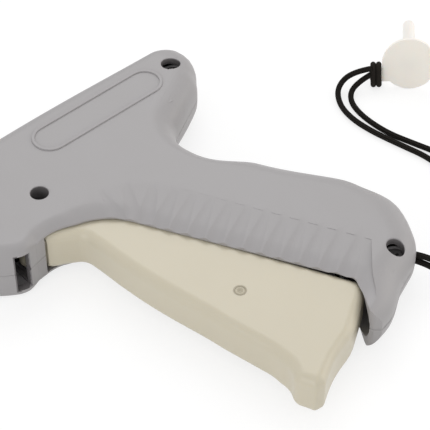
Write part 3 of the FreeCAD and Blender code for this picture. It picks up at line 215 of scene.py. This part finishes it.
def drawn(point):
    """A point of the model on the drawing: in millimetres, with its height above the seam."""
    return (point - Vector((0, 0, SEAM))) / MM


def within_one(value):
    """A share kept between nothing and the whole."""
    return min(1.0, max(0.0, value))


def swell(place, swells):
    """Push a place on the drawing by every swell that reaches it."""
    moved = place.copy()
    for centre, reach, push in swells:
        offset = (place.x - centre[0]) / reach[0], (place.y - centre[1]) / reach[1]
        strength = max(0.0, 1.0 - offset[0] ** 2 - offset[1] ** 2) ** 2
        moved.x += push[0] * strength
        moved.y += push[1] * strength
        moved.z += push[2] * strength * math.sin(math.pi * place.z / HALF_WIDTH)
    return moved


def from_lip(place):
    """How far a place on the drawing is from the lip's edge."""
    gaps = []
    for start, end in zip(LIP, LIP[1:]):
        nearest, share = geometry.intersect_point_line(place.xy, Vector(start), Vector(end))
        nearest = Vector(start).lerp(Vector(end), within_one(share))
        gaps.append((place.xy - nearest).length)
    return min(gaps)


def off_well(place):
    """How far a place on the drawing stands off the wall of the nearest well."""
    return min(abs((place.xy - well).length - WELL_RADIUS) for well in WELLS)


def shell_form(place):
    """Where a place on a plain shell lies once it is swollen and thinned to the fluted lip."""
    near = max(0.0, 1.0 - from_lip(place) / LIP_REACH) ** 2
    flute = (place.xy - FLUTE_START).dot(LIP_RUN) / FLUTE_PITCH
    fluted = within_one((flute - FLUTES_FADE_FROM) / (FLUTES_FULL_FROM - FLUTES_FADE_FROM))
    crest = 0.5 + 0.5 * math.cos(2 * math.pi * flute)
    thinning = LIP_THINNING * near * (1.0 - fluted * FLUTE_RISE * crest)
    moved = swell(place, SHELL_SWELLS)
    height = abs(moved.z)
    if height > UNDER_LIP:
        height = UNDER_LIP + (height - UNDER_LIP) * (1.0 - thinning)
    moved.z = math.copysign(height, moved.z)
    return moved


def divide(skin, longest, rounds, wanted=lambda edge: True):
    """Halve each long edge that is wanted, round after round."""
    for _ in range(rounds):
        long_edges = [edge for edge in skin.edges if edge.calc_length() > longest and wanted(edge)]
        bmesh.ops.subdivide_edges(skin, edges=long_edges, cuts=1)
        bmesh.ops.triangulate(skin, faces=skin.faces)


def fine_skin(name):
    """A finely divided copy of a solid's skin."""
    skin = bmesh.new()
    skin.from_mesh(nodes[name].data)
    bmesh.ops.remove_doubles(skin, verts=skin.verts, dist=TOUCHING)
    divide(skin, LONGEST_EDGE, DIVISIONS)
    return skin


def reshape(skin, form):
    """Move every point of a skin to where a form on the drawing puts it."""
    for vert in skin.verts:
        vert.co = form(drawn(vert.co)) * MM + Vector((0, 0, SEAM))


def chamfer(skin, edges, width, segments):
    bmesh.ops.bevel(skin, geom=edges, offset=width, offset_type="OFFSET", segments=segments,
                    profile=0.5, affect="EDGES", material=-1)


def high_side(vert):
    """Whether a point is on a flat side, out beyond the level where the lip's wall begins."""
    return abs(vert.co.z - SEAM) > UNDER_LIP * MM


def corner_over(edge, angle):
    return len(edge.link_faces) == 2 and edge.calc_face_angle() > angle


def near_flutes(edge):
    """Whether an edge is on the part of a flat side that the lip's flutes reach."""
    middle = drawn((edge.verts[0].co + edge.verts[1].co) / 2)
    return abs(middle.z) > UNDER_LIP and from_lip(middle) < LIP_REACH


def ease_wells(skin):
    """Round the rims of the screw wells."""
    rims = [edge for edge in skin.edges
            if all(off_well(drawn(vert.co)) < RIM_TOLERANCE for vert in edge.verts)
            and high_side(edge.verts[0]) and corner_over(edge, RIM_CORNER)]
    chamfer(skin, rims, WELL_RIM, segments=2)


def mark_painted_shade(skin):
    """Give the walls of the wells and of the clip's channel the second finish, a painted shade."""
    for face in skin.faces:
        middle = drawn(face.calc_center_median())
        in_well = off_well(middle) < WELL_WALL and abs(face.normal.z) < WELL_STEEPNESS
        in_channel = all(low < value < high for value, (low, high) in zip(middle, CHANNEL))
        face.material_index = int(in_well or in_channel)


def rub(skin):
    """Smooth the rubbed spot, up and down alone."""
    rubbed = [vert for vert in skin.verts
              if high_side(vert) and (vert.co.xy / MM - RUBBED).length < RUBBED_REACH]
    for _ in range(RUBS):
        bmesh.ops.smooth_vert(skin, verts=rubbed, factor=0.5, use_axis_x=False, use_axis_y=False,
                              use_axis_z=True)


def groove_seam(skin):
    """Break the edges that meet at the seam, so that a fine groove shows between the halves."""
    seam_edges = [edge for edge in skin.edges
                  if all(abs(vert.co.z - SEAM) < SEAM_TOLERANCE for vert in edge.verts)
                  and corner_over(edge, SEAM_CORNER)]
    chamfer(skin, seam_edges, SEAM_GROOVE, segments=1)


def make_piece(name, skin, *finishes):
    """An object with this skin, its place in its mesh, and a slot for each finish."""
    data = bpy.data.meshes.new(name)
    skin.to_mesh(data)
    skin.free()
    for finish in finishes:
        data.materials.append(finish.material)
    piece = bpy.data.objects.new(name, data)
    bpy.context.scene.collection.objects.link(piece)
    return piece


def make_moulding(name, skin, sharp, *finishes):
    """The piece that shows in its solid's place, shaded smooth between its sharp corners."""
    for edge in skin.edges:
        edge.smooth = len(edge.link_faces) == 2 and edge.calc_face_angle() < sharp
    for face in skin.faces:
        face.smooth = True
    piece = make_piece(name + "_moulding", skin, *finishes)
    weigh = piece.modifiers.new("flat_faces_stay_flat", "WEIGHTED_NORMAL")
    weigh.keep_sharp = True
    weigh.weight = 100
    return piece


for name in ("left_housing_shell", "right_housing_shell"):
    skin = fine_skin(name)
    divide(skin, FLUTE_EDGE, FLUTE_DIVISIONS, near_flutes)
    ease_wells(skin)
    mark_painted_shade(skin)
    reshape(skin, shell_form)
    rub(skin)
    groove_seam(skin)
    half = make_moulding(name, skin, SHARP_CORNER, grey, painted_shade_grey)
    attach(half, "housing")
    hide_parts(name)

# Pins, axle, knife and the pawl's leaf: ground and hardened steel. The pins and the axle sit in seats in
# both halves, the knife in a slot beside the needle, and the leaf lies over the pawl.
steel = Finish("plated_steel", colour=(0.42, 0.42, 0.43), roughness=0.325, Metallic=1.0)
steel.wear(steel.noise(0.8 * MM), spread=0.25)
dress(steel, "trigger_pivot_pin", "lever_pivot_pin", "pawl_pin", "link_lever_pin", "slider_pin",
      "feed_wheel_axle", "cutter_blade", "pawl_spring")

# Linkage: the link from the trigger and the bent lever that it turns. Both are stamped from steel plate
# and tumbled, and hang on their pins.
plate = Finish("stamped_steel", colour=(0.36, 0.36, 0.37), roughness=0.4, Metallic=1.0)
plate.wear(plate.noise(2.5 * MM), spread=0.3)
dress(plate, "trigger_link", "drive_lever")

# Carriage, feed guide, feed pawl and the needle's lock: black acetal mouldings. The carriage slides on
# rails, the guide and the lock sit in the nose, and the pawl clicks on its pin.
black = Finish("black_acetal", colour=(0.02, 0.02, 0.022), roughness=0.38)
black.bump(black.noise(0.4 * MM), depth=0.015 * MM)
dress(black, "pusher_slider", "feed_pawl", "needle_lock_knob", "feed_track_guide")

# Feed wheel: a small ratchet wheel that moves the clip on by one fastener, machined from brass. It turns
# on its steel axle.
brass = Finish("machined_brass", colour=(0.66, 0.47, 0.19), roughness=0.3, Metallic=1.0)
brass.wear(brass.noise(0.7 * MM), spread=0.2)
dress(brass, "feed_wheel")

# Needle and pusher rod: stainless steel, drawn and polished. The rod is held in the carriage and runs
# through the guide into the hollow needle.
bright = Finish("polished_steel", colour=(0.72, 0.72, 0.73), roughness=0.16, Metallic=1.0)
bright.wear(bright.noise(1.5 * MM), spread=0.12)
dress(bright, "needle", "pusher_rod")

# Needle base: the needle's hub in red nylon, moulded round its rear end. It is pushed into the front of
# the nose, and a quarter turn of the lock holds it there.
red = Finish("red_nylon", colour=(0.50, 0.06, 0.045), roughness=0.35)
red.bump(red.noise(0.5 * MM), depth=0.012 * MM)
dress(red, "needle_base")

# Return spring: drawn steel wire wound round a mandrel. Its rear end sits on the handle's back wall, and
# its front end on the trigger, which bows it and presses it shorter as it swings.
COIL_CORNER = math.radians(60)
coil = make_moulding("return_spring", fine_skin("return_spring"), COIL_CORNER, steel)
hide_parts("return_spring")
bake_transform(coil)

# Trigger: a channel of cream acetal, smooth and slightly waxy, injection-moulded in one piece. It swings
# on the pin in the nose.
PALE_CREAM, PALE_SHARE = (0.65, 0.60, 0.475), 0.4
cream = Finish("cream_acetal", colour=(0.60, 0.55, 0.43), roughness=0.36, Subsurface_Weight=0.1,
               Subsurface_Radius=(1.2 * MM, 1.0 * MM, 0.7 * MM), Subsurface_Scale=1.0)
cream.tint(cream.noise(14 * MM) * PALE_SHARE, PALE_CREAM)
cream.bump(cream.noise(0.5 * MM), depth=0.01 * MM)
TRIGGER_SWELLS = (
    ((-3.0, -22.5), (6.0, 8.0), (-2.3, 0.0, 0.0)),
    ((2.8, -55.0), (12.0, 24.0), (-1.0, 0.0, 0.0)),
    ((12.6, -101.0), (8.0, 8.0), (-1.1, 0.0, 0.0)),
    ((24.0, -110.0), (16.0, 10.0), (0.0, 1.6, 0.0)),
)
skin = fine_skin("trigger")
reshape(skin, lambda place: swell(place, TRIGGER_SWELLS))
trigger = make_moulding("trigger", skin, SHARP_CORNER, cream)
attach(trigger, "trigger")
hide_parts("trigger")

# Trigger link pin: turned on a lathe from a darker cream acetal and pressed through the trigger's two
# walls, so each end shows a ring and a dimple.
pin_cream = Finish("cream_pin", colour=(0.50, 0.455, 0.35), roughness=0.3)
pin_cream.bump(pin_cream.noise(0.6 * MM), depth=0.02 * MM)
# One end, from its middle out: a share of the pin's radius, and a depth below the end in millimetres.
PIN_END = ((0.0, 0.45), (0.30, 0.40), (0.43, 0.05), (0.56, 0.0), (0.67, 0.05), (0.75, 0.35), (0.86, 0.35),
           (0.92, 0.05), (1.0, 0.0))
PIN_STEPS = 48
pin_low, pin_high = (Vector(corner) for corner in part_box("trigger_link_pin"))
pin_radius = (pin_high.x - pin_low.x) / 2
pin_middle = (pin_low + pin_high) / 2
half_section = [(share * pin_radius, pin_low.z + sink * MM) for share, sink in PIN_END]
half_section += [(share * pin_radius, pin_high.z - sink * MM) for share, sink in reversed(PIN_END)]
lathe = bmesh.new()
corners = [lathe.verts.new((radius, 0, height)) for radius, height in half_section]
outline = [lathe.edges.new(pair) for pair in zip(corners, corners[1:])]
bmesh.ops.spin(lathe, geom=corners + outline, cent=(0, 0, 0), axis=(0, 0, 1), angle=2 * math.pi,
               steps=PIN_STEPS, use_merge=True)
bmesh.ops.remove_doubles(lathe, verts=lathe.verts, dist=TOUCHING)
bmesh.ops.recalc_face_normals(lathe, faces=lathe.faces)
bmesh.ops.translate(lathe, verts=lathe.verts, vec=(pin_middle.x, pin_middle.y, 0))
for face in lathe.faces:
    face.smooth = True
turned_pin = make_piece("turned_link_pin", lathe, pin_cream)
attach(turned_pin, "trigger")
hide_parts("trigger_link_pin")

# Housing screws: four self-tapping steel screws, zinc-plated, which are driven through the deep wells and
# hold the two halves together. Their colour is darkened nearly to black, a painted shade of the deep wells.
shaded_zinc = Finish("zinc_painted_dark_as_shade", colour=(0.12, 0.115, 0.115), roughness=0.5, Metallic=0.3)
shaded_zinc.wear(shaded_zinc.noise(0.6 * MM), spread=0.2)
dress(shaded_zinc, "housing_screws")

# Needle cap: soft translucent polyethylene, moulded in one piece with its flange and tab. It slips over
# the needle when the tool is put away, and here it lies on the table.
natural = Finish("natural_polyethylene", colour=(0.98, 0.91, 0.84), roughness=0.32, Subsurface_Weight=0.4,
                 Subsurface_Radius=(1.6 * MM, 1.3 * MM, 1.1 * MM), Subsurface_Scale=1.0)
natural.bump(natural.noise(1.8 * MM), depth=0.03 * MM)
dress(natural, "needle_cap")

# Lanyard: a thin braided polyester cord, doubled. It is knotted inside the butt, leaves through the heel,
# lies on the table and is hitched round the tab of the needle's cap.
CORD = 1.8 * MM
STRANDS = {
    "lanyard_strand_outer": [
        (65.7, -90.65, 10.95), (69.2, -96.0, 11.2), (73.0, -99.8, 6.8), (79.2, -101.4, 1.6),
        (91.0, -96.2, 1.0), (101.0, -86.8, 1.0), (106.4, -75.5, 1.0), (107.4, -63.4, 1.0),
        (105.1, -53.6, 1.0), (103.0, -43.6, 1.0), (102.5, -35.4, 1.0), (104.3, -28.0, 1.0),
        (108.6, -22.6, 2.2), (114.3, -23.2, 5.6), (118.9, -27.6, 7.2),
    ],
    "lanyard_strand_inner": [
        (65.7, -90.65, 9.05), (68.7, -96.3, 8.9), (71.8, -100.7, 5.4), (77.4, -105.1, 1.0),
        (90.5, -101.6, 1.0), (102.6, -92.4, 1.0), (110.4, -80.2, 1.0), (112.3, -67.6, 1.0),
        (108.6, -56.0, 1.0), (105.8, -46.4, 1.0), (105.8, -35.4, 1.0), (108.6, -28.0, 1.0),
        (113.6, -25.6, 2.6), (118.7, -27.8, 5.1),
    ],
}
ROUTE_ORDER, STEPS_ROUND, STEPS_ALONG = 3, 5, 8
CREST_BLACK = (0.028, 0.023, 0.018)
cord_finish = Finish("braided_cord", colour=(0.0055, 0.0045, 0.004), roughness=0.9, Specular_IOR_Level=0.2)
along = cord_finish.node("ShaderNodeTexCoord", {}, out="UV")
length_way, round_way = (cord_finish.node("ShaderNodeSeparateXYZ", {}, along, out=way) for way in "XY")
PLAITS_ALONG, PLAITS_ROUND = 150.0, 4.0
left_plait = (length_way * PLAITS_ALONG + round_way * PLAITS_ROUND) * (2 * math.pi)
right_plait = (length_way * PLAITS_ALONG - round_way * PLAITS_ROUND) * (2 * math.pi)
plait = left_plait.maths("SINE") * right_plait.maths("SINE")
cord_finish.bump(plait, depth=0.25 * MM)
# The plait's raised crests are coloured a lighter black.
cord_finish.tint(plait * 0.5 + 0.5, CREST_BLACK)


def lay_strand(name, points):
    curve = bpy.data.curves.new(name, "CURVE")
    curve.dimensions = "3D"
    curve.bevel_depth = CORD / 2
    curve.bevel_resolution = STEPS_ROUND
    curve.use_fill_caps = True
    curve.materials.append(cord_finish.material)
    spline = curve.splines.new("NURBS")
    spline.points.add(len(points) - 1)
    for control, point in zip(spline.points, points):
        control.co = tuple(value * MM for value in point) + (1.0,)
    spline.order_u = ROUTE_ORDER
    spline.use_endpoint_u = True
    spline.resolution_u = STEPS_ALONG
    strand = bpy.data.objects.new(name, curve)
    bpy.context.scene.collection.objects.link(strand)
    return strand


for name, points in STRANDS.items():
    strand = lay_strand(name + "_braid", points)
    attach(strand, "housing")
    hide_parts(name)
dress(cord_finish, "cord_hitch", "lanyard_knot")

# Table: a wide white board. To the eye it glows up to white and keeps the object's soft shadow, and to
# the light that it sends back it is a plain white surface.
TABLE_WIDTH = 4.0
SEEN_COLOUR, SEEN_GLOW = (0.30, 0.30, 0.30), (0.74, 0.74, 0.74)
board = bmesh.new()
bmesh.ops.create_grid(board, x_segments=1, y_segments=1, size=TABLE_WIDTH / 2)
white = Finish("white_table", colour=(0.85, 0.85, 0.85), roughness=0.7, Specular_IOR_Level=0.0,
               Emission_Strength=1.0)
seen = white.node("ShaderNodeLightPath", {}, out="Is Camera Ray")
for path in ("Is Glossy Ray", "Is Transmission Ray"):
    seen = seen.maths("MAXIMUM", white.node("ShaderNodeLightPath", {}, out=path))
white.tint(seen, SEEN_COLOUR)
white.put(white.shader.inputs["Emission Color"], white.mix(seen, (0.0, 0.0, 0.0), SEEN_GLOW))
make_piece("table", board, white)

# Light: three large square lamps, behind, beside and in front of the object, under an even white sky.
# Each is given a place and a width in metres, and a power in watts.
WHITE_LIGHT, WARM_LIGHT = (1.0, 1.0, 1.0), (1.0, 0.95, 0.88)
LAMPS = {
    "lamp_rear": ((0.45, 0.45, 0.75), 0.6, 2.35, WHITE_LIGHT),
    "lamp_side": ((0.65, -0.40, 0.20), 0.5, 1.2, WARM_LIGHT),
    "lamp_front": ((-0.75, -0.22, 0.34), 0.5, 1.5, WHITE_LIGHT),
}
SKY_STRENGTH = 0.70
for name, (place, width, power, colour) in LAMPS.items():
    light = bpy.data.lights.new(name, "AREA")
    light.color = colour
    light.size = width
    light.energy = power
    lamp = bpy.data.objects.new(name, light)
    bpy.context.scene.collection.objects.link(lamp)
    lamp.location = Vector(place)
    lamp.rotation_euler = (VIEW_CENTRE - lamp.location).to_track_quat("-Z", "Y").to_euler()
world = bpy.data.worlds.new("studio")
world.use_nodes = True
sky = world.node_tree.nodes["Background"]
sky.inputs["Color"].default_value = (1.0, 1.0, 1.0, 1.0)
sky.inputs["Strength"].default_value = SKY_STRENGTH
bpy.context.scene.world = world
bpy.context.scene.view_settings.view_transform = "Standard"
